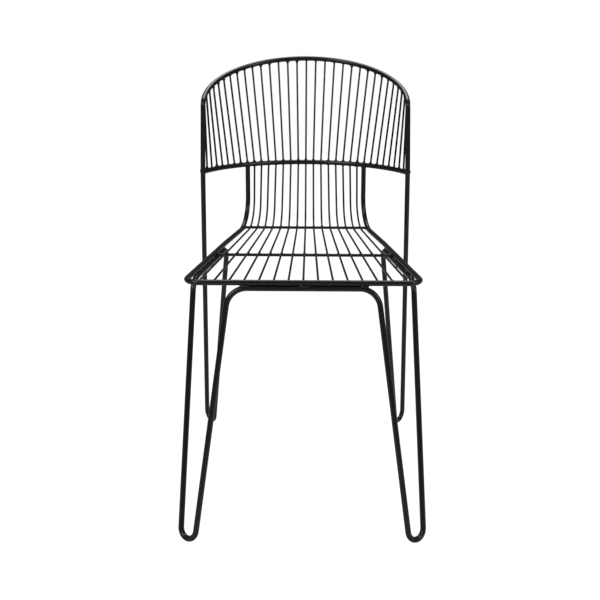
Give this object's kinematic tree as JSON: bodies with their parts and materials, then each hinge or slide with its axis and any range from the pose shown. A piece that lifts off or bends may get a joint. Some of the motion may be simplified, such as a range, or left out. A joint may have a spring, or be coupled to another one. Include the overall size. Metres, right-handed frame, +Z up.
{
  "type": "wire chair",
  "caption": "Armless dining chair bent and welded from round steel rod: wire seat and lower back in one sweep, barrel back of upright wires under a tilted hoop, hairpin legs.",
  "frame": {"origin": "on the floor under the middle of the chair's length and width", "axes": "+X to the viewer's right when facing the front of the chair, the sitter faces -Y, +Z up"},
  "size_m": [0.4482, 0.658, 0.7932],
  "materials": {
    "coated_steel": "satin"
  },
  "bodies": {
    "root": {"front_leg_frame": "coated_steel", "rear_leg_and_hoop_frame": "coated_steel", "seat_frame": "coated_steel", "middle_back_rail": "coated_steel", "seat_cross_rod_middle": "coated_steel", "seat_cross_rod_rear": "coated_steel", "seat_rib_01": "coated_steel", "seat_rib_02": "coated_steel", "seat_rib_03": "coated_steel", "seat_rib_04": "coated_steel", "seat_rib_05": "coated_steel", "seat_rib_06": "coated_steel", "seat_rib_07": "coated_steel", "seat_rib_08": "coated_steel", "seat_rib_09": "coated_steel", "seat_rib_10": "coated_steel", "seat_rib_11": "coated_steel", "seat_rib_12": "coated_steel", "seat_rib_13": "coated_steel", "seat_rib_14": "coated_steel", "seat_rib_15": "coated_steel", "back_wire_01": "coated_steel", "back_wire_02": "coated_steel", "back_wire_03": "coated_steel", "back_wire_04": "coated_steel", "back_wire_05": "coated_steel", "back_wire_06": "coated_steel", "back_wire_07": "coated_steel", "back_wire_08": "coated_steel", "back_wire_09": "coated_steel", "back_wire_10": "coated_steel", "back_wire_11": "coated_steel", "back_wire_12": "coated_steel", "back_wire_13": "coated_steel", "back_wire_14": "coated_steel", "back_wire_15": "coated_steel", "back_wire_16": "coated_steel", "back_wire_17": "coated_steel", "back_wire_18": "coated_steel", "back_wire_19": "coated_steel", "back_wire_20": "coated_steel", "back_wire_21": "coated_steel", "back_wire_22": "coated_steel", "back_wire_23": "coated_steel", "back_wire_24": "coated_steel", "back_wire_25": "coated_steel", "back_wire_26": "coated_steel", "back_wire_27": "coated_steel", "back_wire_28": "coated_steel", "back_wire_29": "coated_steel", "back_wire_30": "coated_steel", "back_wire_31": "coated_steel"}
  },
  "joints": []
}
